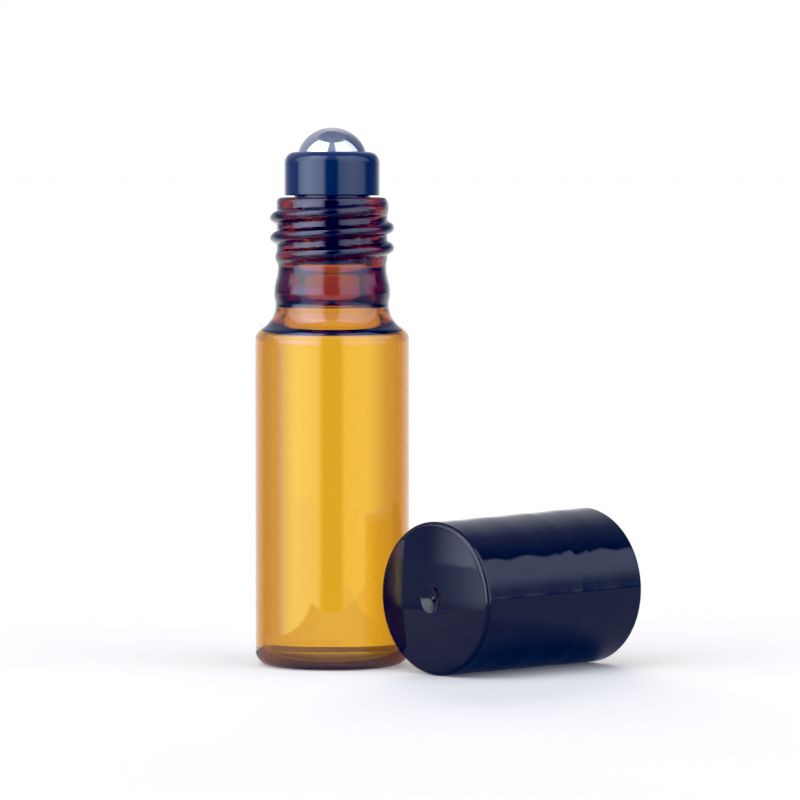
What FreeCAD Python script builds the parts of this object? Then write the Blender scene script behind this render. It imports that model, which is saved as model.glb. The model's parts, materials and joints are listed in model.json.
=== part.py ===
import FreeCAD, Part
import math
import os

import Sketcher

# A roll on bottle for about 5 ml: an amber glass vial with a pinched neck, a black moulded
# housing pressed into its mouth, a steel ball held in that housing, and a screw cap that
# lies beside the vial. Lengths are in millimetres. The origin is the middle of the vial's
# foot, +Z is up along the vial, and +X runs along the lying cap towards its open mouth.

# Driving dimensions
SIZES = {
    # Vial body
    "body_diameter": 16.25,
    "glass_wall": 1.0,
    "base_thickness": 1.2,
    "heel_round": 1.7,
    "inner_heel_round": 0.8,
    "foot_ring_width": 1.4,
    "push_up": 0.3,
    # Vial heights, each one counted from the station below it
    "body_height": 33.8,
    "shoulder_rise": 4.0,
    "bead_rise": 1.3,
    "waist_rise": 2.9,
    "land_rise": 1.0,
    "land_height": 6.2,
    # Vial neck
    "neck_diameter": 11.7,
    "pinch_swell": 0.12,
    "bead_swell": 0.28,
    "waist_relief": 0.13,
    "lip_round": 0.5,
    "mouth_round": 0.15,
    "mouth_bore": 7.2,
    "plug_room": 0.3,
    "throat_bore": 6.0,
    "throat_step": 0.8,
    "throat_rise": 1.4,
    "ledge_wall": 1.15,
    "ledge_drop": 0.45,
    "inner_shoulder_drop": 0.5,
    # Ball and its running clearance
    "ball_diameter": 7.8,
    "ball_clearance": 0.05,
    "ball_exposure": 2.55,
    # Housing
    "socket_wall": 1.075,
    "collar_height": 4.6,
    "collar_round": 1.2,
    "collar_foot_round": 0.15,
    "seat_land": 0.25,
    "lip_gap": 0.16,
    "plug_length": 6.9,
    "plug_clearance": 0.1,
    "plug_wall": 1.1,
    "plug_lead": 0.5,
    "rib_count": 2,
    "rib_spacing": 2.2,
    "rib_offset": 1.7,
    "rib_width": 0.8,
    "rib_crest": 0.3,
    "rib_bite": 0.02,
    # Cap
    "thread_depth": 0.72,
    "thread_clearance": 0.2,
    "cap_wall": 1.43,
    "cap_draft": 0.25,
    "bore_draft": 0.15,
    "cap_top": 1.5,
    "cap_drop": 0.78,
    "cap_edge_round": 0.5,
    "rim_round": 0.25,
    "top_round": 0.6,
    "seal_ring_bore": 3.2,
    "seal_ring_wall": 0.9,
    "seal_ring_height": 1.8,
    "dimple_diameter": 2.9,
    "dimple_depth": 0.35,
    # Where the cap lies
    "cap_gap": 0.21,
    "cap_lead": 0.93,
}

# Radii and heights that follow from them, in the order in which they build on each other
DERIVED = {
    # Vial outside, from the foot up
    "body_radius": "body_diameter / 2",
    "heel_radius": "body_radius - heel_round",
    "foot_radius": "heel_radius - foot_ring_width",
    "dish_round": "(foot_radius^2 + push_up^2) / (2 * push_up)",
    "neck_radius": "neck_diameter / 2",
    "pinch_radius": "neck_radius + pinch_swell",
    "bead_radius": "neck_radius + bead_swell",
    "waist_radius": "neck_radius - waist_relief",
    "pinch_height": "body_height + shoulder_rise",
    "bead_height": "pinch_height + bead_rise",
    "waist_height": "bead_height + waist_rise",
    "neck_height": "waist_height + land_rise",
    "lip_height": "neck_height + land_height",
    "lip_start": "lip_height - lip_round",
    "lip_radius": "neck_radius - lip_round",
    # Vial inside, from the mouth down
    "mouth_radius": "mouth_bore / 2",
    "mouth_edge": "mouth_radius + mouth_round",
    "mouth_start": "lip_height - mouth_round",
    "bore_radius": "mouth_radius",
    "bore_height": "lip_height - plug_length - plug_room",
    "throat_radius": "throat_bore / 2",
    "throat_height": "bore_height - throat_step",
    "flare_radius": "throat_radius",
    "flare_height": "pinch_height + throat_rise",
    "ledge_radius": "pinch_radius - ledge_wall",
    "ledge_height": "pinch_height - ledge_drop",
    "wall_radius": "body_radius - glass_wall",
    "wall_height": "body_height - inner_shoulder_drop",
    "floor_round_height": "base_thickness + inner_heel_round",
    "floor_radius": "wall_radius - inner_heel_round",
    # Housing, with its own zero at the glass lip
    "ball_radius": "ball_diameter / 2",
    "socket_radius": "ball_radius + ball_clearance",
    "seat_radius": "mouth_edge + seat_land",
    "collar_radius": "max(socket_radius + socket_wall; seat_radius + 2 * collar_foot_round)",
    "collar_top": "lip_gap + collar_height",
    "ball_height": "collar_top + ball_exposure - ball_radius",
    "rim_radius": "sqrt(socket_radius^2 - (collar_top - ball_height)^2)",
    "collar_top_round": "min(collar_round; 0.9 * (collar_radius - rim_radius))",
    "collar_top_radius": "collar_radius - collar_top_round",
    "collar_round_start": "collar_top - collar_top_round",
    "collar_foot_radius": "collar_radius - collar_foot_round",
    "collar_foot_height": "lip_gap + collar_foot_round",
    "plug_radius": "mouth_radius - plug_clearance",
    "outlet_radius": "plug_radius - plug_wall",
    "seat_height": "ball_height - sqrt(socket_radius^2 - outlet_radius^2)",
    "plug_bottom": "-plug_length",
    "plug_tip_radius": "plug_radius - plug_lead / 2",
    "plug_lead_height": "plug_bottom + plug_lead",
    "rib_root_radius": "plug_radius - plug_wall / 3",
    "rib_radius": "mouth_radius + rib_bite",
    "rib_low": "plug_bottom + rib_offset - rib_width / 2",
    "rib_crest_low": "plug_bottom + rib_offset - rib_crest / 2",
    "rib_crest_high": "plug_bottom + rib_offset + rib_crest / 2",
    "rib_high": "plug_bottom + rib_offset + rib_width / 2",
    "rib_reach": "rib_spacing * (rib_count - 1)",
    "ball_level": "lip_height + ball_height",
    # Cap, with its own zero at the middle of its mouth and its closed end upwards
    "cap_bore_radius": "neck_radius + thread_depth + thread_clearance",
    "cap_open_radius": "cap_bore_radius + cap_wall",
    "cap_closed_radius": "cap_open_radius - cap_draft",
    "bore_top_radius": "cap_bore_radius - bore_draft",
    "cap_seat_height": "pinch_height - cap_drop",
    "ring_inner_radius": "seal_ring_bore / 2",
    "ring_outer_radius": "ring_inner_radius + seal_ring_wall",
    "ring_face": "ball_level + sqrt(ball_radius^2 - ring_inner_radius^2) - cap_seat_height",
    "cap_ceiling": "ring_face + seal_ring_height",
    "cap_length": "cap_ceiling + cap_top",
    "rim_edge": "cap_open_radius - rim_round",
    "edge_start": "cap_length - cap_edge_round",
    "edge_radius": "cap_closed_radius - cap_edge_round",
    "ceiling_edge": "bore_top_radius - top_round",
    "ceiling_start": "cap_ceiling - top_round",
    "dimple_radius": "dimple_diameter / 2",
    "dimple_floor": "cap_length - dimple_depth",
    "dimple_round": "(dimple_radius^2 + dimple_depth^2) / (2 * dimple_depth)",
    # Where the cap lies: its lower line is on the ground, so its axis climbs with the draft
    "cap_climb": "atan(cap_draft / cap_length)",
    "cap_turn": "-90 deg - cap_climb",
    "cap_x": "cap_length * cos(cap_climb) - cap_lead",
    "cap_y": "-(body_radius + cap_gap + cap_closed_radius)",
    "cap_z": "cap_closed_radius * cos(cap_climb) + cap_length * sin(cap_climb)",
}

# Double bends: each joins two upright stretches of wall by two equal arcs
BENDS = {
    "shoulder": ("body", "pinch"),
    "under_bead": ("pinch", "bead"),
    "over_bead": ("bead", "waist"),
    "relief": ("waist", "neck"),
    "plug_stop": ("bore", "throat"),
    "inner_ledge": ("flare", "ledge"),
    "inner_shoulder": ("ledge", "wall"),
}


def bend_cells(name, start, end):
    """The middle of a double bend and the radius of its two arcs."""
    across = f"({start}_radius - {end}_radius)"
    along = f"({start}_height - {end}_height)"
    return {
        f"{name}_radius": f"({start}_radius + {end}_radius) / 2",
        f"{name}_height": f"({start}_height + {end}_height) / 2",
        f"{name}_bend": f"({across}^2 + {along}^2) / (4 * abs({across}))",
    }


def make_sheet(doc):
    """The spreadsheet of driving dimensions, followed by what they drive."""
    sheet = doc.addObject("Spreadsheet::Sheet", "sizes")
    formulas = dict(DERIVED)
    for name, ends in BENDS.items():
        formulas.update(bend_cells(name, *ends))
    cells = {alias: str(number) for alias, number in SIZES.items()}
    cells.update({alias: "=" + formula for alias, formula in formulas.items()})
    for row, (alias, content) in enumerate(cells.items(), start=1):
        sheet.set(f"A{row}", alias)
        sheet.set(f"B{row}", content)
        sheet.setAlias(f"B{row}", alias)
    doc.recompute()
    return sheet


class Section:
    """A closed half section in the XZ plane of a body, whose corners lie at sheet values.

    A corner is a pair of aliases, a radius and a height. None stands for zero.
    """

    LEFT, RIGHT = 1, -1

    def __init__(self, sheet, body, name):
        self.sheet = sheet
        self.sketch = body.newObject("Sketcher::SketchObject", name)
        plane = next(f for f in body.Origin.OriginFeatures if f.Role == "XZ_Plane")
        self.sketch.AttachmentSupport = [(plane, "")]
        self.sketch.MapMode = "FlatFace"
        self.pieces = []

    def number(self, alias):
        if alias is None:
            return 0.0
        held = self.sheet.get(alias)
        return float(getattr(held, "Value", held))

    def point(self, corner):
        return FreeCAD.Vector(self.number(corner[0]), self.number(corner[1]), 0)

    def start(self, radius, height):
        self.first = self.last = (radius, height)

    def line(self, radius, height):
        end = (radius, height)
        edge = Part.LineSegment(self.point(self.last), self.point(end))
        self.pieces.append((self.sketch.addGeometry(edge, False), self.last, True))
        self.last = end

    def arc(self, radius, height, bend, side):
        """An arc of radius bend, under a half circle, that turns left or right on its way."""
        end = (radius, height)
        here, there, size = self.point(self.last), self.point(end), self.number(bend)
        chord = there - here
        inward = FreeCAD.Vector(-chord.y, chord.x, 0).normalize()
        rise = math.sqrt(size**2 - (chord.Length / 2) ** 2)
        centre = (here + there) * 0.5 + inward * (side * rise)
        ends = (here, there) if side == self.LEFT else (there, here)
        angles = [math.atan2(p.y - centre.y, p.x - centre.x) for p in ends]
        circle = Part.Circle(centre, FreeCAD.Vector(0, 0, 1), size)
        index = self.sketch.addGeometry(Part.ArcOfCircle(circle, *angles), False)
        self.bind(Sketcher.Constraint("Radius", index, size), bend)
        self.pieces.append((index, self.last, side == self.LEFT))
        self.last = end

    def bend(self, name, radius, height, side):
        """A double bend: half of it turns to one side and half to the other."""
        self.arc(f"{name}_radius", f"{name}_height", f"{name}_bend", side)
        self.arc(radius, height, f"{name}_bend", -side)

    def bind(self, constraint, alias):
        index = self.sketch.addConstraint(constraint)
        self.sketch.setExpression(f"Constraints[{index}]", f"{self.sheet.Name}.{alias}")

    def close(self):
        """Joins the pieces end to end and ties every corner to its two values."""
        self.line(*self.first)
        following = self.pieces[1:] + self.pieces[:1]
        for (index, _, forward), (after, corner, after_forward) in zip(self.pieces, following):
            tail = 2 if forward else 1
            head = 1 if after_forward else 2
            self.sketch.addConstraint(Sketcher.Constraint("Coincident", index, tail, after, head))
            for kind, axis, alias in (("DistanceX", -2, corner[0]), ("DistanceY", -1, corner[1])):
                if alias is None:
                    on_axis = Sketcher.Constraint("PointOnObject", after, head, axis)
                    self.sketch.addConstraint(on_axis)
                else:
                    size = self.number(alias)
                    self.bind(Sketcher.Constraint(kind, -1, 1, after, head, size), alias)
        return self.sketch


def revolve(body, sketch, name):
    """Turns a half section once round the body's upright axis."""
    solid = body.newObject("PartDesign::Revolution", name)
    solid.Profile = sketch
    solid.ReferenceAxis = (sketch, ["V_Axis"])
    solid.Angle = 360
    body.Tip = solid
    return solid


def new_body(doc, label):
    body = doc.addObject("PartDesign::Body", label)
    body.Label = label
    return body


def make_bottle(doc, sheet):
    """The glass vial: one wall, from the dished foot up to the lip and down again inside."""
    body = new_body(doc, "bottle")
    wall = Section(sheet, body, "vial_section")
    wall.start(None, "push_up")
    wall.arc("foot_radius", None, "dish_round", Section.RIGHT)
    wall.line("heel_radius", None)
    wall.arc("body_radius", "heel_round", "heel_round", Section.LEFT)
    wall.line("body_radius", "body_height")
    wall.bend("shoulder", "pinch_radius", "pinch_height", Section.LEFT)
    wall.bend("under_bead", "bead_radius", "bead_height", Section.RIGHT)
    wall.bend("over_bead", "waist_radius", "waist_height", Section.LEFT)
    wall.bend("relief", "neck_radius", "neck_height", Section.RIGHT)
    wall.line("neck_radius", "lip_start")
    wall.arc("lip_radius", "lip_height", "lip_round", Section.LEFT)
    wall.line("mouth_edge", "lip_height")
    wall.arc("mouth_radius", "mouth_start", "mouth_round", Section.LEFT)
    wall.line("bore_radius", "bore_height")
    wall.bend("plug_stop", "throat_radius", "throat_height", Section.RIGHT)
    wall.line("flare_radius", "flare_height")
    wall.bend("inner_ledge", "ledge_radius", "ledge_height", Section.LEFT)
    wall.bend("inner_shoulder", "wall_radius", "wall_height", Section.LEFT)
    wall.line("wall_radius", "floor_round_height")
    wall.arc("floor_radius", "base_thickness", "inner_heel_round", Section.RIGHT)
    wall.line(None, "base_thickness")
    revolve(body, wall.close(), "vial")
    return body


def make_ball_housing(doc, sheet):
    """The moulded housing: a collar with the ball's socket, over a hollow ribbed plug."""
    body = new_body(doc, "ball_housing")
    wall = Section(sheet, body, "housing_section")
    wall.start("outlet_radius", "plug_bottom")
    wall.line("plug_tip_radius", "plug_bottom")
    wall.line("plug_radius", "plug_lead_height")
    wall.line("plug_radius", None)
    wall.line("seat_radius", None)
    wall.line("seat_radius", "lip_gap")
    wall.line("collar_foot_radius", "lip_gap")
    wall.arc("collar_radius", "collar_foot_height", "collar_foot_round", Section.LEFT)
    wall.line("collar_radius", "collar_round_start")
    wall.arc("collar_top_radius", "collar_top", "collar_top_round", Section.LEFT)
    wall.line("rim_radius", "collar_top")
    wall.arc("outlet_radius", "seat_height", "socket_radius", Section.RIGHT)
    revolve(body, wall.close(), "housing")

    rib = Section(sheet, body, "rib_section")
    rib.start("rib_root_radius", "rib_low")
    rib.line("rib_radius", "rib_crest_low")
    rib.line("rib_radius", "rib_crest_high")
    rib.line("rib_root_radius", "rib_high")
    first_rib = revolve(body, rib.close(), "first_rib")
    doc.recompute()

    ribs = body.newObject("PartDesign::LinearPattern", "sealing_ribs")
    ribs.Originals = [first_rib]
    ribs.Direction = (first_rib.Profile[0], ["V_Axis"])
    ribs.setExpression("Length", f"{sheet.Name}.rib_reach")
    ribs.setExpression("Occurrences", f"{sheet.Name}.rib_count")
    body.Tip = ribs
    body.setExpression("Placement.Base.z", f"{sheet.Name}.lip_height")
    return body


def make_roller_ball(doc, sheet):
    """The steel ball, held under the collar's lip."""
    ball = doc.addObject("Part::Sphere", "roller_ball")
    ball.Label = "roller_ball"
    ball.setExpression("Radius", f"{sheet.Name}.ball_radius")
    ball.setExpression("Placement.Base.z", f"{sheet.Name}.ball_level")
    return ball


def make_screw_cap(doc, sheet):
    """The cap: a drafted shell with a seal ring inside its top and a gate dimple outside."""
    body = new_body(doc, "screw_cap")
    wall = Section(sheet, body, "cap_section")
    wall.start("cap_bore_radius", None)
    wall.line("rim_edge", None)
    wall.arc("cap_open_radius", "rim_round", "rim_round", Section.LEFT)
    wall.line("cap_closed_radius", "edge_start")
    wall.arc("edge_radius", "cap_length", "cap_edge_round", Section.LEFT)
    wall.line("dimple_radius", "cap_length")
    wall.arc(None, "dimple_floor", "dimple_round", Section.RIGHT)
    wall.line(None, "cap_ceiling")
    wall.line("ring_inner_radius", "cap_ceiling")
    wall.line("ring_inner_radius", "ring_face")
    wall.line("ring_outer_radius", "ring_face")
    wall.line("ring_outer_radius", "cap_ceiling")
    wall.line("ceiling_edge", "cap_ceiling")
    wall.arc("bore_top_radius", "ceiling_start", "top_round", Section.RIGHT)
    revolve(body, wall.close(), "cap")

    body.Placement.Rotation = FreeCAD.Rotation(FreeCAD.Vector(0, 1, 0), wall.number("cap_turn"))
    body.setExpression("Placement.Rotation.Angle", f"{sheet.Name}.cap_turn")
    for direction in "xyz":
        body.setExpression(f"Placement.Base.{direction}", f"{sheet.Name}.cap_{direction}")
    return body


def check(doc, pieces):
    """Stops if anything failed to build."""
    for thing in doc.Objects:
        if "Invalid" in thing.State or "Error" in thing.State:
            raise RuntimeError(f"{thing.Name} did not build: {thing.State}")
    for piece in pieces:
        if piece.Shape.isNull() or not piece.Shape.isValid():
            raise RuntimeError(f"{piece.Label} has no valid shape")
        if len(piece.Shape.Solids) != 1:
            raise RuntimeError(f"{piece.Label} is not one solid")


def main():
    doc = FreeCAD.newDocument("roll_on_bottle")
    sheet = make_sheet(doc)
    makers = (make_bottle, make_ball_housing, make_roller_ball, make_screw_cap)
    pieces = [make(doc, sheet) for make in makers]
    doc.recompute()
    check(doc, pieces)
    os.makedirs("parts", exist_ok=True)
    for piece in pieces:
        piece.Shape.exportStep(f"parts/{piece.Label}.step")
        box = piece.Shape.BoundBox
        print(f"{piece.Label}: {piece.Shape.Volume:.2f} mm3, "
              f"x {box.XMin:.2f} to {box.XMax:.2f}, y {box.YMin:.2f} to {box.YMax:.2f}, "
              f"z {box.ZMin:.2f} to {box.ZMax:.2f}")


main()
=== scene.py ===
import json
import math

import bpy
import numpy as np
from mathutils import Matrix, Vector


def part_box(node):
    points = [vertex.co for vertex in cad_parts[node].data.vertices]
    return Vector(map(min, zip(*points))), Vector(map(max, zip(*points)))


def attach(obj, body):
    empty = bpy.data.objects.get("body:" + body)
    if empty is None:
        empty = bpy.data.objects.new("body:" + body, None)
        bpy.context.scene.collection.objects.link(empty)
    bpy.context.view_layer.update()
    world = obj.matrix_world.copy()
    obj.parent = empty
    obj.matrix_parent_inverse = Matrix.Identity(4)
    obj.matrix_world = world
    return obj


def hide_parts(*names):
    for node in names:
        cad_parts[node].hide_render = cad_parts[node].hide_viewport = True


# A roll on bottle: an amber glass vial, a black ball housing in its mouth, a steel ball in the
# housing and a black screw cap that lies beside the vial. Sizes are in millimetres and are
# turned into metres where Blender is given them. Heights count from the vial's foot.

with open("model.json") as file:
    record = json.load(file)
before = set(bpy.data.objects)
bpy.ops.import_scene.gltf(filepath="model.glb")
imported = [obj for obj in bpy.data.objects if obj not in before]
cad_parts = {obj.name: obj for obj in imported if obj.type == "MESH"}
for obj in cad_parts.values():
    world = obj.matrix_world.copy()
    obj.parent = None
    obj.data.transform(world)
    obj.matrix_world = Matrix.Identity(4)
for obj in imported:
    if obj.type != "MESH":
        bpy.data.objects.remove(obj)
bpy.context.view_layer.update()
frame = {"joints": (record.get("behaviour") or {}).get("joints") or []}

MM = 0.001

# Which way an arc turns
LEFT, RIGHT = 1, -1

# How finely outlines are divided, in millimetres, and the fewest parts of an arc
FINE_STEP = 0.08
SOCKET_STEP = 0.15
CAP_STEP = 0.2
PLAIN_STEP = 0.6
LEAST_PARTS = 4

# The most that an arc bends from one point to the next and the bend from which an edge is sharp,
# in degrees, and the parts of a full turn
FINE_BEND = 4.0
SHARP_BEND = 50.0
SEGMENTS = 204

# The camera's place, from the bottle: the view looks along +Y of its own frame, which is the
# row frame turned about Z
VIEW_TURN = -43.79
CAMERA_SIDE = 7.123
CAMERA_DISTANCE = 533.5
CAMERA_HEIGHT = 51.62
CAMERA_PITCH = 2.548
CAMERA_NEAR = 10.0
LENS = 228.65
SENSOR = 36.0


def node_box(node):
    """The lowest and highest corner of a node, in millimetres."""
    return [np.array(corner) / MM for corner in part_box(node)]


def joint_place(name):
    """The point and the axis of a joint, the point in millimetres."""
    joint = next(j for j in frame["joints"] if j["name"] == name)
    return np.array(joint["pos_m"]) / MM, np.array(joint["axis"])


_, bottle_high = node_box("bottle")
housing_low, housing_high = node_box("ball_housing")
ball_low, ball_high = node_box("roller_ball")
cap_low, cap_high = node_box("screw_cap")

# Vial
BODY_RADIUS = bottle_high[0]
LIP_HEIGHT = bottle_high[2]
GLASS_WALL = 1.0
BASE_THICKNESS = 0.8
HEEL_ROUND = 1.7
INNER_HEEL_ROUND = 1.2
FOOT_RING_WIDTH = 1.4
PUSH_UP = 0.3
SHOULDER_START = 34.2
SHOULDER_ROUND = 1.5
PINCH_HEIGHT = 38.0
BEAD_HEIGHT = 39.1
WAIST_HEIGHT = 42.0
NECK_HEIGHT = 43.0
NECK_RADIUS = 5.85
PINCH_RADIUS = NECK_RADIUS + 0.12
BEAD_RADIUS = NECK_RADIUS + 0.28
WAIST_RADIUS = NECK_RADIUS - 0.13
LIP_ROUND = 0.5
MOUTH_ROUND = 0.15
BORE_RADIUS = 3.6
BORE_HEIGHT = 42.0
THROAT_RADIUS = 3.0
THROAT_TOP = 40.4
THROAT_BOTTOM = 39.2
LEDGE_RADIUS = 4.82
LEDGE_HEIGHT = 37.35
INNER_SHOULDER_HEIGHT = 34.4
INNER_SHOULDER_ROUND = 0.4

# Neck thread: right-handed, with its angles counted from the view's right
THREAD_PITCH = 2.1
THREAD_DEPTH = 0.72
THREAD_HALF_WIDTH = 0.72
THREAD_LEVEL = 43.9
THREAD_START = -225.0
THREAD_END = 760.0
THREAD_FADE = 150.0
THREAD_FULLNESS = 0.8

# Housing
COLLAR_RADIUS = housing_high[0]
COLLAR_TOP = housing_high[2]
PLUG_BOTTOM = housing_low[2]
LIP_GAP = 0.16
COLLAR_ROUND = 1.17
COLLAR_FOOT_ROUND = 0.15
SEAT_RADIUS = 4.0
PLUG_RADIUS = 3.5
OUTLET_RADIUS = 2.4
PLUG_LEAD = 0.5
RIB_RADIUS = BORE_RADIUS - 0.01
RIB_LEVELS = (44.0, 46.2)
RIB_WIDTH = 0.8
RIB_CREST = 0.3
SOCKET_CLEARANCE = 0.05
RIM_EDGE_ROUND = 0.08
RIM_EDGE_INSET = RIM_EDGE_ROUND / 3

# Ball
BALL_RADIUS = (ball_high[2] - ball_low[2]) / 2
BALL_LEVEL = (ball_high[2] + ball_low[2]) / 2

# Cap, with its own zero at the middle of its mouth and its closed end upwards
CAP_OPEN_RADIUS = (cap_high[1] - cap_low[1]) / 2
CAP_DRAFT = 0.25
CAP_WALL = 1.43
BORE_DRAFT = 0.15
CAP_TOP = 1.5
CAP_LENGTH = 22.4467
CAP_EDGE_ROUND = 0.5
RIM_ROUND = 0.25
TOP_ROUND = 0.6
RING_BORE_RADIUS = 1.6
RING_WALL = 0.9
RING_HEIGHT = 1.8
DIMPLE_RADIUS = 1.45
DIMPLE_DEPTH = 0.35
NUB_RADIUS = 0.35
NUB_HEIGHT = 0.22
FACE_DOME = 0.4
CAP_THREAD_DEPTH = 0.62
CAP_THREAD_LEVEL = 5.6
CAP_THREAD_END = 900.0
SINK_DEPTH = 0.014
WALL_WAVE = 0.012
WALL_WAVE_LENGTH = 5.5
WALL_WAVE_FADE = 4.0

# Light from round the bottle. Each stop is an angle from the camera, in degrees to the right,
# with the strength and the tint of the light from there.
WHITE = (1.0, 1.0, 1.0)
BOX_TINT = (1.0, 1.12, 1.45)
LOWER_TINT = (0.85, 1.03, 0.44)
MIDDLE_TINT = (1.0, 1.05, 0.85)
EDGE_TINT = (1.0, 0.9, 0.5)
ROOM_TINT = (0.7, 0.8, 1.1)
BACK_TINT = (0.85, 0.87, 0.95)
LEFT_BOX = (
    (-84, 2.2, BOX_TINT), (-72, 3.2, BOX_TINT), (-57, 3.8, BOX_TINT), (-22, 2.6, BOX_TINT),
)
RIGHT_BOX = ((20, 1.35, BOX_TINT), (55, 1.75, BOX_TINT))
LEFT_BACK = (
    (-180, 1.55, WHITE), (-155, 1.35, WHITE), (-145, 1.0, WHITE), (-135, 0.6, ROOM_TINT),
    (-120, 0.4, ROOM_TINT), (-92, 0.45, ROOM_TINT),
)
RIGHT_BACK = (
    (97, 0.25, ROOM_TINT), (122, 0.25, ROOM_TINT), (135, 0.6, ROOM_TINT), (145, 1.0, WHITE),
    (155, 1.35, WHITE), (180, 1.55, WHITE),
)
FLOOR_LIGHT = (
    (-180, 1.4, WHITE), (-140, 1.1, WHITE), (-116, 0.32, ROOM_TINT), (-92, 0.34, ROOM_TINT),
    (-84, 0.48, ROOM_TINT), (-72, 0.65, ROOM_TINT), (-60, 1.3, BOX_TINT), (-25, 1.1, BOX_TINT),
    (0, 0.4, ROOM_TINT), (25, 0.9, BOX_TINT), (60, 1.1, BOX_TINT), (72, 0.7, ROOM_TINT),
    (110, 0.35, ROOM_TINT), (140, 1.1, WHITE), (180, 1.4, WHITE),
)
LOWER_LIGHT = (
    (-180, 1.48, WHITE), (-155, 1.3, WHITE), (-145, 1.2, WHITE), (-132, 1.2, EDGE_TINT),
    (-116, 0.5, EDGE_TINT), (-92, 0.5, ROOM_TINT), (-85, 0.8, BOX_TINT), (-79, 1.6, BOX_TINT),
    (-73, 2.8, LOWER_TINT), (-57, 3.8, LOWER_TINT), (-22, 2.6, LOWER_TINT), (-13, 0.12, LOWER_TINT),
    (12, 0.1, LOWER_TINT), (20, 1.35, LOWER_TINT), (55, 1.75, LOWER_TINT), (82, 1.1, LOWER_TINT),
    (88, 0.35, ROOM_TINT), (116, 0.4, EDGE_TINT), (132, 1.2, EDGE_TINT), (145, 1.2, WHITE),
    (155, 1.3, WHITE), (180, 1.48, WHITE),
)
LEVEL_LIGHT = (
    *LEFT_BACK, *LEFT_BOX, (-13, 0.15, ROOM_TINT), (12, 0.12, ROOM_TINT), *RIGHT_BOX,
    (84, 1.2, BOX_TINT), (89, 0.35, BOX_TINT), *RIGHT_BACK,
)
LOW_LIGHT = (
    *LEFT_BACK, *LEFT_BOX, (-13, 0.15, ROOM_TINT), (12, 0.12, ROOM_TINT), *RIGHT_BOX,
    (78, 1.2, BOX_TINT), (86, 0.55, BOX_TINT), *RIGHT_BACK,
)
HIGH_LEFT = (
    (-180, 0.9, BACK_TINT), (-160, 0.7, BACK_TINT), (-104, 0.55, ROOM_TINT), (-97, 1.8, BOX_TINT),
)
HIGH_RIGHT = (
    (86, 1.3, BOX_TINT), (102.5, 1.15, BOX_TINT), (105.5, 0.18, ROOM_TINT), (145, 0.36, ROOM_TINT),
    (165, 0.7, BACK_TINT), (180, 0.9, BACK_TINT),
)
MIDDLE_LIGHT = (
    *HIGH_LEFT, (-84, 2.2, MIDDLE_TINT), (-72, 3.2, MIDDLE_TINT), (-57, 3.8, MIDDLE_TINT),
    (-22, 2.6, MIDDLE_TINT), (-14, 0.15, ROOM_TINT), (12, 0.12, ROOM_TINT), (20, 1.7, MIDDLE_TINT),
    (55, 2.1, MIDDLE_TINT), *HIGH_RIGHT,
)
HIGH_LIGHT = (
    *HIGH_LEFT, *LEFT_BOX, (-14, 0.6, ROOM_TINT), (12, 0.6, ROOM_TINT), (20, 1.7, BOX_TINT),
    (55, 2.1, BOX_TINT), *HIGH_RIGHT,
)
CEILING_LIGHT = ((-180, 0.34, ROOM_TINT), (0, 0.46, ROOM_TINT), (180, 0.34, ROOM_TINT))

# The light at each height: up to which elevation, how softly that ends, how much higher it reaches
# in front than at the sides, and the light there
STUDIO = (
    (-6.5, 1.5, 0.0, FLOOR_LIGHT), (-0.92, 0.3, 0.0, LOWER_LIGHT), (1.2, 0.4, 0.0, LEVEL_LIGHT),
    (13.0, 8.0, 0.0, LOW_LIGHT), (30.0, 5.0, 0.0, MIDDLE_LIGHT), (64.0, 3.5, 19.0, HIGH_LIGHT),
    (None, None, None, CEILING_LIGHT),
)

# What the camera itself sees behind the floor
BACKGROUND = (1.01, 1.01, 1.01)

# The picture's darkest tones, red, green and blue: they are deep, with a cool cast
DARKEST = (0.020, 0.014, -0.014)

# The floor's painted glow, an even fill light that no piece shades, and its lamps low behind and
# overhead, which the pieces themselves don't catch: strength, and softness and tilt from the vertical in
# degrees
FLOOR_PAINTED_GLOW = 0.2
BACK_LAMP = (7.8, 40.0, 78.0)
TOP_LAMP = (1.75, 50.0, 0.0)
LAMP_COLOUR = (1.0, 0.95, 0.875)

# Floor: how far the sheet that the pieces mirror reaches from the bottle, and the wide floor
SHEET_FRONT = 80.0
SHEET_BACK = 12.0
SHEET_LEFT = 45.0
SHEET_RIGHT = 250.0
FLOOR_REACH = 40000.0

# Materials: colours are red, green and blue. Where a look has two colours or two values, a noise
# wanders from one to the other. A grain says how much longer fine lines are along each axis, and
# the noise range is where the values of a noise mostly lie.
GLASS_IOR = 1.52
# The glass's reflections get a painted bluish tint
GLASS_PAINTED_REFLECTION_TINT = (1.0, 1.12, 1.4)
GLASS_TINT = (0.912, 0.802, 0.0)
GLASS_DENSITY = 2950.0
GLASS_ROUGHNESS = (0.0, 0.004)
PLASTIC_IOR = 1.5
COLLAR_COLOURS = ((0.012, 0.019, 0.056), (0.015, 0.022, 0.064))
COLLAR_ROUGHNESS = (0.08, 0.12)
COLLAR_GLOSS = 0.5
COLLAR_GRAIN = (1, 1, 20)
CAP_COLOURS = ((0.012, 0.008, 0.006), (0.015, 0.011, 0.008))
CAP_ROUGHNESS = (0.02, 0.05)
CAP_GLOSS = 0.4
CAP_GRAIN = (20, 1, 1)
STEEL_COLOURS = ((0.58, 0.59, 0.62), (0.64, 0.65, 0.68))
STEEL_ROUGHNESS = (0.02, 0.05)
STEEL_GRAIN = (1, 30, 1)
FLOOR_COLOURS = ((0.410, 0.400, 0.388), (0.420, 0.410, 0.398))
# The floor's colours for every ray but the camera's, so where it is mirrored or shows through: darker,
# which is painted shade
MIRRORED_PAINTED_SHADE_COLOURS = ((0.215, 0.212, 0.225), (0.225, 0.222, 0.235))
FLOOR_ROUGHNESS = 0.9
NOISE_RANGE = (0.3, 0.7)


def from_view(x, y, z):
    """A point of the view's own frame, in millimetres, as a point of the row frame in metres."""
    return Matrix.Rotation(math.radians(VIEW_TURN), 3, "Z") @ Vector((x, y, z)) * MM


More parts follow.
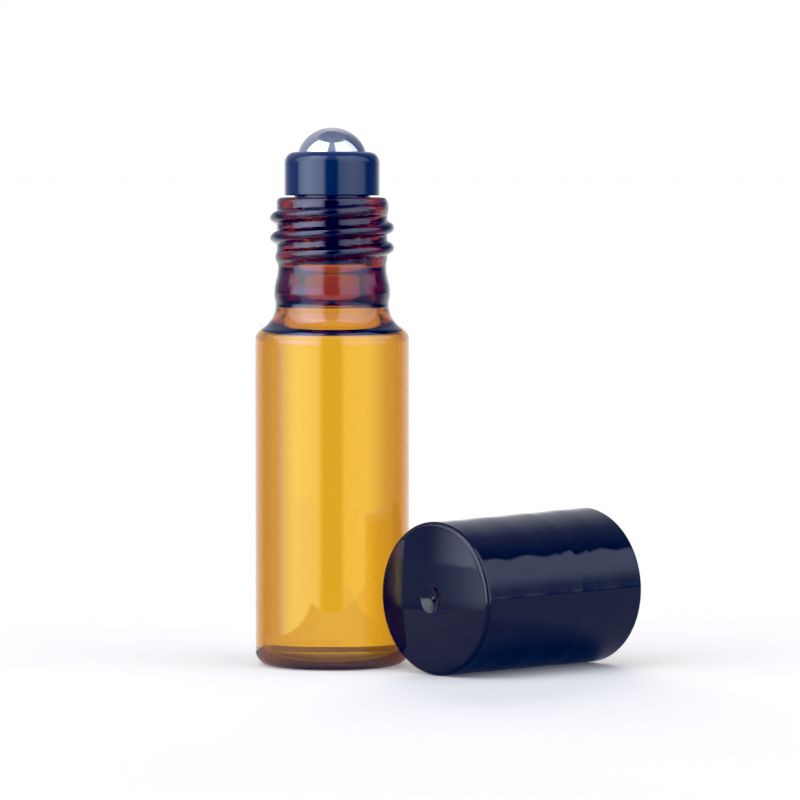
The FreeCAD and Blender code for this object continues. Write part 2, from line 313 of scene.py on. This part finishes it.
class Outline:
    """A half section: points (radius, height), each with the name of the side that it is on."""

    def __init__(self, radius, height, side="outside"):
        self.points = [(radius, height)]
        self.sides = [side]
        self.side = side

    def add(self, point):
        self.points.append(tuple(point))
        self.sides.append(self.side)

    def line(self, radius, height, step=PLAIN_STEP):
        start, end = np.array(self.points[-1]), np.array((radius, height))
        count = math.ceil(np.linalg.norm(end - start) / step)
        for share in np.linspace(0, 1, count + 1)[1:]:
            self.add(start + (end - start) * share)

    def arc(self, radius, height, bend, turn, step=PLAIN_STEP):
        """An arc of radius bend that turns left or right on its way."""
        start, end = np.array(self.points[-1]), np.array((radius, height))
        chord = end - start
        half = np.linalg.norm(chord) / 2
        inward = np.array((-chord[1], chord[0])) / (2 * half)
        centre = (start + end) / 2 + inward * turn * math.sqrt(max(bend**2 - half**2, 0))
        whole = 2 * math.asin(min(half / bend, 1)) * turn
        finest = max(bend / step, 1 / math.radians(FINE_BEND))
        count = max(LEAST_PARTS, math.ceil(abs(whole) * finest))
        for share in np.linspace(0, 1, count + 1)[1:]:
            cos, sin = math.cos(whole * share), math.sin(whole * share)
            across, along = start - centre
            self.add(centre + (across * cos - along * sin, across * sin + along * cos))

    def bend(self, radius, height, turn, first=None, last=None):
        """Two arcs, first to one side and then to the other, between upright walls.

        The arcs are equal unless the radius of the first or of the last one is given.
        """
        start_radius, start_height = self.points[-1]
        across, along = radius - start_radius, height - start_height
        both = (across**2 + along**2) / (2 * abs(across))
        first = both - last if last else first or both / 2
        share = first / both
        self.arc(start_radius + across * share, start_height + along * share, first, turn)
        self.arc(radius, height, both - first, -turn)


def lathe(name, outline, swells=None, loop=False):
    """Turns an outline about the upright axis.

    A side's swell is added to its radii. A loop joins the outline's end to its start.
    """
    radius = np.array(outline.points)[:, :1]
    height = np.array(outline.points)[:, 1:]
    angle = np.linspace(0, 2 * math.pi, SEGMENTS, endpoint=False)[None, :]
    radii = radius + np.zeros_like(angle)
    for side, swell in (swells or {}).items():
        on_side = (np.array(outline.sides) == side)[:, None] & (radius > 0)
        radii = np.where(on_side, radii + swell(height, angle), radii)
    heights = height + np.zeros_like(angle)
    grid = np.stack((radii * np.cos(angle), radii * np.sin(angle), heights), axis=2) * MM
    rows, places, corners = [], [], 0
    for row, ring in enumerate(grid):
        count = 1 if radius[row, 0] == 0 else SEGMENTS
        rows.append([corners + index % count for index in range(SEGMENTS + 1)])
        places.extend(ring[:count].tolist())
        corners += count
    pairs = list(zip(rows, rows[1:])) + ([(rows[-1], rows[0])] if loop else [])
    faces = []
    for low, high in pairs:
        for index in range(SEGMENTS):
            face = (low[index], low[index + 1], high[index + 1], high[index])
            faces.append(tuple(dict.fromkeys(face)))
    mesh = bpy.data.meshes.new(name)
    mesh.from_pydata(places, [], faces)
    mesh.polygons.foreach_set("use_smooth", [True] * len(faces))
    mesh.set_sharp_from_angle(angle=math.radians(SHARP_BEND))
    mesh.update()
    piece = bpy.data.objects.new(name, mesh)
    bpy.context.collection.objects.link(piece)
    return piece


def ease(share):
    """A smooth rise from 0 to 1."""
    share = np.clip(share, 0, 1)
    return share * share * (3 - 2 * share)


def ridge(angle, height, level, start, end, fade, pitch, half_width):
    """How much of a screw ridge stands at each place, from 0 to 1. Angles are in degrees."""
    found = np.zeros(np.broadcast_shapes(angle.shape, height.shape))
    first = math.floor(start / 360) - 1
    last = math.ceil(end / 360) + 1
    for turn in range(first, last):
        along = angle + 360 * turn
        reach = np.clip(1 - ((height - level - pitch * along / 360) / half_width) ** 2, 0, 1)
        share = ease((along - start) / fade) * ease((end - along) / fade)
        found = np.maximum(found, reach**THREAD_FULLNESS * share)
    return found


# Vial

def neck_thread(height, angle):
    """The thread that stands on the neck."""
    seen = np.degrees(angle) - VIEW_TURN
    return THREAD_DEPTH * ridge(
        seen, height, THREAD_LEVEL, THREAD_START, THREAD_END, THREAD_FADE, THREAD_PITCH,
        THREAD_HALF_WIDTH,
    )


def vial_outline():
    """From the dish under the foot up to the lip, and down inside to the floor of the hollow."""
    heel_radius = BODY_RADIUS - HEEL_ROUND
    foot_radius = heel_radius - FOOT_RING_WIDTH
    dish_round = (foot_radius**2 + PUSH_UP**2) / (2 * PUSH_UP)
    wall_radius = BODY_RADIUS - GLASS_WALL
    wall = Outline(0, PUSH_UP)
    wall.arc(foot_radius, 0, dish_round, RIGHT)
    wall.line(heel_radius, 0)
    wall.arc(BODY_RADIUS, HEEL_ROUND, HEEL_ROUND, LEFT)
    wall.line(BODY_RADIUS, SHOULDER_START)
    wall.bend(PINCH_RADIUS, PINCH_HEIGHT, LEFT, SHOULDER_ROUND)
    wall.bend(BEAD_RADIUS, BEAD_HEIGHT, RIGHT)
    wall.bend(WAIST_RADIUS, WAIST_HEIGHT, LEFT)
    wall.bend(NECK_RADIUS, NECK_HEIGHT, RIGHT)
    wall.line(NECK_RADIUS, LIP_HEIGHT - LIP_ROUND, FINE_STEP)
    wall.arc(NECK_RADIUS - LIP_ROUND, LIP_HEIGHT, LIP_ROUND, LEFT)
    wall.side = "inside"
    wall.line(BORE_RADIUS + MOUTH_ROUND, LIP_HEIGHT)
    wall.arc(BORE_RADIUS, LIP_HEIGHT - MOUTH_ROUND, MOUTH_ROUND, LEFT)
    wall.line(BORE_RADIUS, BORE_HEIGHT)
    wall.bend(THROAT_RADIUS, THROAT_TOP, RIGHT)
    wall.line(THROAT_RADIUS, THROAT_BOTTOM)
    wall.bend(LEDGE_RADIUS, LEDGE_HEIGHT, LEFT)
    wall.bend(wall_radius, INNER_SHOULDER_HEIGHT, LEFT, last=INNER_SHOULDER_ROUND)
    wall.line(wall_radius, BASE_THICKNESS + INNER_HEEL_ROUND)
    wall.arc(wall_radius - INNER_HEEL_ROUND, BASE_THICKNESS, INNER_HEEL_ROUND, RIGHT)
    wall.line(0, BASE_THICKNESS)
    return wall


# Housing

def housing_outline():
    """From the plug's lower end up its outside to the collar, and down the socket and outlet."""
    socket_radius = BALL_RADIUS + SOCKET_CLEARANCE
    rim_radius = math.sqrt(socket_radius**2 - (COLLAR_TOP - BALL_LEVEL) ** 2)
    seat_height = BALL_LEVEL - math.sqrt(socket_radius**2 - OUTLET_RADIUS**2)
    foot = LIP_HEIGHT + LIP_GAP
    wall = Outline(OUTLET_RADIUS, PLUG_BOTTOM)
    wall.line(PLUG_RADIUS - PLUG_LEAD / 2, PLUG_BOTTOM)
    wall.line(PLUG_RADIUS, PLUG_BOTTOM + PLUG_LEAD)
    for level in RIB_LEVELS:
        wall.line(PLUG_RADIUS, level - RIB_WIDTH / 2)
        wall.line(RIB_RADIUS, level - RIB_CREST / 2)
        wall.line(RIB_RADIUS, level + RIB_CREST / 2)
        wall.line(PLUG_RADIUS, level + RIB_WIDTH / 2)
    wall.line(PLUG_RADIUS, LIP_HEIGHT)
    wall.line(SEAT_RADIUS, LIP_HEIGHT)
    wall.line(SEAT_RADIUS, foot)
    wall.line(COLLAR_RADIUS - COLLAR_FOOT_ROUND, foot)
    wall.arc(COLLAR_RADIUS, foot + COLLAR_FOOT_ROUND, COLLAR_FOOT_ROUND, LEFT)
    wall.line(COLLAR_RADIUS, COLLAR_TOP - COLLAR_ROUND, FINE_STEP)
    wall.arc(COLLAR_RADIUS - COLLAR_ROUND, COLLAR_TOP, COLLAR_ROUND, LEFT)
    wall.line(rim_radius + RIM_EDGE_ROUND, COLLAR_TOP)
    wall.arc(rim_radius + RIM_EDGE_INSET, COLLAR_TOP - RIM_EDGE_ROUND, RIM_EDGE_ROUND, LEFT)
    wall.arc(OUTLET_RADIUS, seat_height, socket_radius, RIGHT, SOCKET_STEP)
    # The outline ends one step short of its start, because the loop joins the two
    wall.line(OUTLET_RADIUS, PLUG_BOTTOM + PLAIN_STEP)
    return wall


# Ball

def ball_outline():
    ball = Outline(0, BALL_LEVEL - BALL_RADIUS)
    ball.arc(BALL_RADIUS, BALL_LEVEL, BALL_RADIUS, LEFT)
    ball.arc(0, BALL_LEVEL + BALL_RADIUS, BALL_RADIUS, LEFT)
    # The last point is put on the axis itself, so that it stays one corner
    ball.points[-1] = (0, BALL_LEVEL + BALL_RADIUS)
    return ball


# Cap

def cap_thread(height, angle):
    """The thread inside the cap, which stands inwards."""
    return -CAP_THREAD_DEPTH * ridge(
        np.degrees(angle), height, CAP_THREAD_LEVEL, 0, CAP_THREAD_END, THREAD_FADE, THREAD_PITCH,
        THREAD_HALF_WIDTH,
    )


def sink_marks(height, angle):
    """The wall draws in a little over the thread, and waves slightly between its ends."""
    over_thread = ridge(
        np.degrees(angle), height, CAP_THREAD_LEVEL, 0, CAP_THREAD_END, THREAD_FADE, THREAD_PITCH,
        THREAD_PITCH / 2,
    )
    wave = np.sin(height / WALL_WAVE_LENGTH * 2 * math.pi + np.cos(angle))
    fade = ease(height / WALL_WAVE_FADE) * ease((CAP_LENGTH - height) / WALL_WAVE_FADE)
    return -SINK_DEPTH * over_thread - WALL_WAVE * wave * fade


def cap_outline():
    """From the hollow's closed end down to the mouth, and up the outside to the gate's nub."""
    closed_radius = CAP_OPEN_RADIUS - CAP_DRAFT
    bore_radius = CAP_OPEN_RADIUS - CAP_WALL
    bore_top_radius = bore_radius - BORE_DRAFT
    ceiling = CAP_LENGTH - CAP_TOP
    ring_face = ceiling - RING_HEIGHT
    ring_radius = RING_BORE_RADIUS + RING_WALL
    edge_radius = closed_radius - CAP_EDGE_ROUND
    dome_round = (edge_radius**2 + FACE_DOME**2) / (2 * FACE_DOME)
    dimple_edge = CAP_LENGTH + FACE_DOME - dome_round + math.sqrt(dome_round**2 - DIMPLE_RADIUS**2)
    dimple_floor = dimple_edge - DIMPLE_DEPTH
    dimple_round = (DIMPLE_RADIUS**2 + DIMPLE_DEPTH**2) / (2 * DIMPLE_DEPTH)
    nub_round = (NUB_RADIUS**2 + NUB_HEIGHT**2) / (2 * NUB_HEIGHT)
    wall = Outline(bore_radius, RIM_ROUND, "inside")
    wall.side = "outside"
    wall.line(bore_radius + RIM_ROUND / 2, 0)
    wall.line(CAP_OPEN_RADIUS - RIM_ROUND, 0)
    wall.arc(CAP_OPEN_RADIUS, RIM_ROUND, RIM_ROUND, LEFT)
    wall.line(closed_radius, CAP_LENGTH - CAP_EDGE_ROUND, CAP_STEP)
    wall.arc(edge_radius, CAP_LENGTH, CAP_EDGE_ROUND, LEFT)
    wall.side = "face"
    wall.arc(DIMPLE_RADIUS, dimple_edge, dome_round, LEFT, CAP_STEP)
    wall.arc(NUB_RADIUS, dimple_floor, dimple_round, RIGHT)
    wall.arc(0, dimple_floor + NUB_HEIGHT, nub_round, LEFT)
    # The last point is put on the axis itself, so that it stays one corner
    wall.points[-1] = (0, dimple_floor + NUB_HEIGHT)
    cavity = Outline(0, ceiling, "inside")
    cavity.line(RING_BORE_RADIUS, ceiling)
    cavity.line(RING_BORE_RADIUS, ring_face)
    cavity.line(ring_radius, ring_face)
    cavity.line(ring_radius, ceiling)
    cavity.line(bore_top_radius - TOP_ROUND, ceiling)
    cavity.arc(bore_top_radius, ceiling - TOP_ROUND, TOP_ROUND, RIGHT)
    cavity.line(bore_radius, RIM_ROUND, CAP_STEP)
    cavity.points += wall.points[1:]
    cavity.sides += wall.sides[1:]
    return cavity


# Materials

def new_material(name):
    """A material with a plain surface shader, and its node tree."""
    material = bpy.data.materials.new(name)
    material.use_nodes = True
    tree = material.node_tree
    tree.nodes.clear()
    output = tree.nodes.new("ShaderNodeOutputMaterial")
    shader = tree.nodes.new("ShaderNodeBsdfPrincipled")
    tree.links.new(shader.outputs["BSDF"], output.inputs["Surface"])
    return material, tree, shader, output


def noise(tree, size, stretch=(1, 1, 1), detail=3.0):
    """A noise over the object whose blobs are about size millimetres across."""
    place = tree.nodes.new("ShaderNodeTexCoord")
    mapping = tree.nodes.new("ShaderNodeMapping")
    mapping.inputs["Scale"].default_value = [1 / (size * MM * share) for share in stretch]
    texture = tree.nodes.new("ShaderNodeTexNoise")
    texture.inputs["Scale"].default_value = 1.0
    texture.inputs["Detail"].default_value = detail
    tree.links.new(place.outputs["Object"], mapping.inputs["Vector"])
    tree.links.new(mapping.outputs["Vector"], texture.inputs["Vector"])
    return texture.outputs["Fac"]


def spread(tree, value, low, high):
    """The value of a noise, as one from low to high."""
    node = tree.nodes.new("ShaderNodeMapRange")
    node.inputs["From Min"].default_value = NOISE_RANGE[0]
    node.inputs["From Max"].default_value = NOISE_RANGE[1]
    node.inputs["To Min"].default_value = low
    node.inputs["To Max"].default_value = high
    tree.links.new(value, node.inputs["Value"])
    return node.outputs["Result"]


def relief(tree, height, depth, after=None):
    """A bump of depth millimetres, on top of another one."""
    node = tree.nodes.new("ShaderNodeBump")
    node.inputs["Distance"].default_value = depth * MM
    tree.links.new(height, node.inputs["Height"])
    if after is not None:
        tree.links.new(after, node.inputs["Normal"])
    return node.outputs["Normal"]


def blend_colours(tree, value, low, high):
    """A colour between low and high, by a value from 0 to 1."""
    node = tree.nodes.new("ShaderNodeMix")
    node.data_type = "RGBA"
    node.inputs["A"].default_value = (*low, 1)
    node.inputs["B"].default_value = (*high, 1)
    tree.links.new(value, node.inputs["Factor"])
    return node.outputs["Result"]


def amber_glass():
    material, tree, shader, output = new_material("amber_glass")
    shader.inputs["Base Color"].default_value = (*WHITE, 1)
    shader.inputs["Transmission Weight"].default_value = 1.0
    shader.inputs["IOR"].default_value = GLASS_IOR
    # A painted bluish tint on the glass's reflections
    shader.inputs["Specular Tint"].default_value = (*GLASS_PAINTED_REFLECTION_TINT, 1)
    smudges = spread(tree, noise(tree, size=3.0), *GLASS_ROUGHNESS)
    tree.links.new(smudges, shader.inputs["Roughness"])
    waves = relief(tree, noise(tree, size=5.0, detail=1.0), depth=0.002)
    tree.links.new(waves, shader.inputs["Normal"])
    colour = tree.nodes.new("ShaderNodeVolumeAbsorption")
    colour.inputs["Color"].default_value = (*GLASS_TINT, 1)
    colour.inputs["Density"].default_value = GLASS_DENSITY
    tree.links.new(colour.outputs["Volume"], output.inputs["Volume"])
    return material


def black_plastic(name, colours, roughness, gloss, grain):
    """Moulded black polymer with a faint orange peel and fine rubs along its grain."""
    material, tree, shader, _ = new_material(name)
    shader.inputs["IOR"].default_value = PLASTIC_IOR
    shader.inputs["Specular IOR Level"].default_value = gloss
    clouds = noise(tree, size=2.5)
    tree.links.new(blend_colours(tree, clouds, *colours), shader.inputs["Base Color"])
    tree.links.new(spread(tree, clouds, *roughness), shader.inputs["Roughness"])
    peel = relief(tree, noise(tree, size=0.8, detail=2.0), depth=0.0008)
    rubs = relief(tree, noise(tree, size=0.12, stretch=grain), depth=0.0002, after=peel)
    tree.links.new(rubs, shader.inputs["Normal"])
    return material


def polished_steel():
    material, tree, shader, _ = new_material("polished_steel")
    shader.inputs["Metallic"].default_value = 1.0
    clouds = noise(tree, size=1.5)
    tree.links.new(blend_colours(tree, clouds, *STEEL_COLOURS), shader.inputs["Base Color"])
    tree.links.new(spread(tree, clouds, *STEEL_ROUGHNESS), shader.inputs["Roughness"])
    lines = relief(tree, noise(tree, size=0.05, stretch=STEEL_GRAIN), depth=0.0002)
    tree.links.new(lines, shader.inputs["Normal"])
    return material


def pale_floor():
    """The floor, with painted shade where it is mirrored or shows through: there it is darker than where
    it is seen.
    """
    material, tree, shader, _ = new_material("pale_floor")
    clouds = noise(tree, size=40.0)
    direct = blend_colours(tree, clouds, *FLOOR_COLOURS)
    # Painted shade: rays other than the camera's see the floor darker
    mirrored_painted_shade = blend_colours(tree, clouds, *MIRRORED_PAINTED_SHADE_COLOURS)
    path = tree.nodes.new("ShaderNodeLightPath")
    seen = tree.nodes.new("ShaderNodeMix")
    seen.data_type = "RGBA"
    tree.links.new(path.outputs["Is Camera Ray"], seen.inputs["Factor"])
    tree.links.new(mirrored_painted_shade, seen.inputs["A"])
    tree.links.new(direct, seen.inputs["B"])
    tree.links.new(seen.outputs["Result"], shader.inputs["Base Color"])
    # The floor glows: painted fill light, darker where the floor has its painted shade
    tree.links.new(seen.outputs["Result"], shader.inputs["Emission Color"])
    shader.inputs["Emission Strength"].default_value = FLOOR_PAINTED_GLOW
    shader.inputs["Roughness"].default_value = FLOOR_ROUGHNESS
    shader.inputs["Specular IOR Level"].default_value = 0.0
    return material


# Pieces

def dress(piece, material, body, node):
    """Gives a piece its material, hangs it on its body and hides the node that it replaces."""
    piece.data.materials.append(material)
    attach(piece, body)
    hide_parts(node)


def make_pieces():
    """All four pieces, with the one that lets light through first."""
    vial = lathe("vial_glass", vial_outline(), {"outside": neck_thread})
    dress(vial, amber_glass(), "vial", "bottle")

    collar = black_plastic(
        "housing_plastic", COLLAR_COLOURS, COLLAR_ROUGHNESS, COLLAR_GLOSS, COLLAR_GRAIN,
    )
    housing = lathe("housing_shell", housing_outline(), loop=True)
    dress(housing, collar, "vial", "ball_housing")

    ball = lathe("steel_ball", ball_outline())
    dress(ball, polished_steel(), "ball", "roller_ball")

    mouth, axis = joint_place("cap_twist")
    plastic = black_plastic("cap_plastic", CAP_COLOURS, CAP_ROUGHNESS, CAP_GLOSS, CAP_GRAIN)
    cap = lathe("cap_shell", cap_outline(), {"outside": sink_marks, "inside": cap_thread})
    turn = Vector(-axis).to_track_quat("Z", "Y").to_matrix().to_4x4()
    cap.data.transform(Matrix.Translation(Vector(mouth) * MM) @ turn)
    dress(cap, plastic, "cap", "screw_cap")
    return vial, housing, ball, cap


# Stage

def make_floor():
    """A sheet by the bottle, and the wide floor round it that no piece mirrors or lets through."""
    material = pale_floor()
    across = (-FLOOR_REACH, -SHEET_LEFT, SHEET_RIGHT, FLOOR_REACH)
    along = (-FLOOR_REACH, -SHEET_FRONT, SHEET_BACK, FLOOR_REACH)
    corners = [from_view(x, y, 0) for y in along for x in across]
    width = len(across)
    cells = [(row, column) for row in range(len(along) - 1) for column in range(width - 1)]
    middle = (1, 1)
    floors = []
    for name, chosen in (
        ("floor_sheet", [middle]),
        ("wide_floor", [cell for cell in cells if cell != middle]),
    ):
        faces = []
        for row, column in chosen:
            first = width * row + column
            faces.append((first, first + 1, first + width + 1, first + width))
        used = sorted({corner for face in faces for corner in face})
        mesh = bpy.data.meshes.new(name)
        mesh.from_pydata(
            [corners[corner] for corner in used], [],
            [[used.index(corner) for corner in face] for face in faces],
        )
        floor = bpy.data.objects.new(name, mesh)
        floor.data.materials.append(material)
        bpy.context.collection.objects.link(floor)
        floors.append(floor)
    wide_floor = floors[-1]
    wide_floor.visible_glossy = False
    wide_floor.visible_transmission = False
    return floors


def make_floor_lamp(name, setting, floors, pieces):
    """A soft lamp for the floor alone, that only the given pieces keep off it."""
    lit = bpy.data.collections.new(name + "_floor")
    for floor in floors:
        lit.objects.link(floor)
    shading = bpy.data.collections.new(name + "_shading")
    for piece in pieces:
        shading.objects.link(piece)
    strength, softness, tilt = setting
    lamp = bpy.data.objects.new(name, bpy.data.lights.new(name, "SUN"))
    lamp.data.energy = strength
    lamp.data.color = LAMP_COLOUR
    lamp.data.angle = math.radians(softness)
    lamp.rotation_euler = (math.radians(-tilt), 0, math.radians(VIEW_TURN))
    bpy.context.collection.objects.link(lamp)
    lamp.light_linking.receiver_collection = lit
    lamp.light_linking.blocker_collection = shading


def make_light():
    """Two large soft boxes, a pale backdrop and a dim ceiling, all round the bottle."""
    world = bpy.data.worlds.new("studio")
    bpy.context.scene.world = world
    world.use_nodes = True
    tree = world.node_tree
    tree.nodes.clear()

    def node(kind, *links, **settings):
        """A node with its settings, and its inputs linked or set."""
        made = tree.nodes.new(kind)
        for name, value in settings.items():
            setattr(made, name, value)
        for socket, value in links:
            if isinstance(value, bpy.types.NodeSocket):
                tree.links.new(value, made.inputs[socket])
            else:
                made.inputs[socket].default_value = value
        return made

    place = node("ShaderNodeTexCoord")
    turned = node(
        "ShaderNodeMapping", ("Vector", place.outputs["Generated"]),
        ("Rotation", (0, 0, math.radians(-VIEW_TURN))),
    )
    parts = node("ShaderNodeSeparateXYZ", (0, turned.outputs[0]))
    front = node("ShaderNodeMath", (0, parts.outputs["Y"]), (1, -1.0), operation="MULTIPLY")
    angle = node("ShaderNodeMath", (0, parts.outputs["X"]), (1, front.outputs[0]), operation="ARCTAN2")
    turn = node(
        "ShaderNodeMapRange", ("Value", angle.outputs[0]), ("From Min", -math.pi), ("From Max", math.pi),
    )
    strongest = max(strength * max(tint) for *_, stops in STUDIO for _, strength, tint in stops)
    climb = node("ShaderNodeMath", (0, parts.outputs["Z"]), operation="ARCSINE")
    room = None
    for top, softness, lean, stops in reversed(STUDIO):
        ramp = node("ShaderNodeValToRGB", ("Fac", turn.outputs[0]))
        # New stops start in the middle and are put in their places after that
        while len(ramp.color_ramp.elements) < len(stops):
            ramp.color_ramp.elements.new(0.5)
        for element, (degrees, strength, tint) in zip(ramp.color_ramp.elements, stops):
            element.position = (degrees + 180) / 360
            element.color = (*[strength * share / strongest for share in tint], 1)
        if room is None:
            room = ramp.outputs["Color"]
            continue
        leaning = node(
            "ShaderNodeMath", (0, front.outputs[0]), (1, math.radians(-lean)), (2, climb.outputs[0]),
            operation="MULTIPLY_ADD",
        )
        above = node(
            "ShaderNodeMapRange", ("Value", leaning.outputs[0]),
            ("From Min", math.radians(top - softness)), ("From Max", math.radians(top + softness)),
            interpolation_type="SMOOTHSTEP",
        )
        mixed = node(
            "ShaderNodeMix", ("Factor", above.outputs[0]), ("A", ramp.outputs["Color"]), ("B", room),
            data_type="RGBA",
        )
        room = mixed.outputs["Result"]
    path = node("ShaderNodeLightPath")
    lit = node("ShaderNodeBackground", ("Color", room), ("Strength", strongest))
    plain = node("ShaderNodeBackground", ("Color", (*BACKGROUND, 1)))
    light = node(
        "ShaderNodeMixShader", (0, path.outputs["Is Camera Ray"]), (1, lit.outputs[0]),
        (2, plain.outputs[0]),
    )
    node("ShaderNodeOutputWorld", ("Surface", light.outputs[0]))


def make_camera():
    camera = bpy.data.objects.new("camera", bpy.data.cameras.new("camera"))
    camera.data.lens = LENS
    camera.data.sensor_width = SENSOR
    camera.data.clip_start = CAMERA_NEAR * MM
    camera.location = from_view(CAMERA_SIDE, -CAMERA_DISTANCE, CAMERA_HEIGHT)
    camera.rotation_euler = (math.radians(90 - CAMERA_PITCH), 0, math.radians(VIEW_TURN))
    bpy.context.collection.objects.link(camera)
    bpy.context.scene.camera = camera
    view = bpy.context.scene.view_settings
    view.view_transform = "Standard"
    view.use_curve_mapping = True
    view.curve_mapping.black_level = DARKEST


pieces = make_pieces()
floors = make_floor()
make_floor_lamp("back_lamp", BACK_LAMP, floors, pieces[1:])
make_floor_lamp("top_lamp", TOP_LAMP, floors, pieces)
make_light()
make_camera()
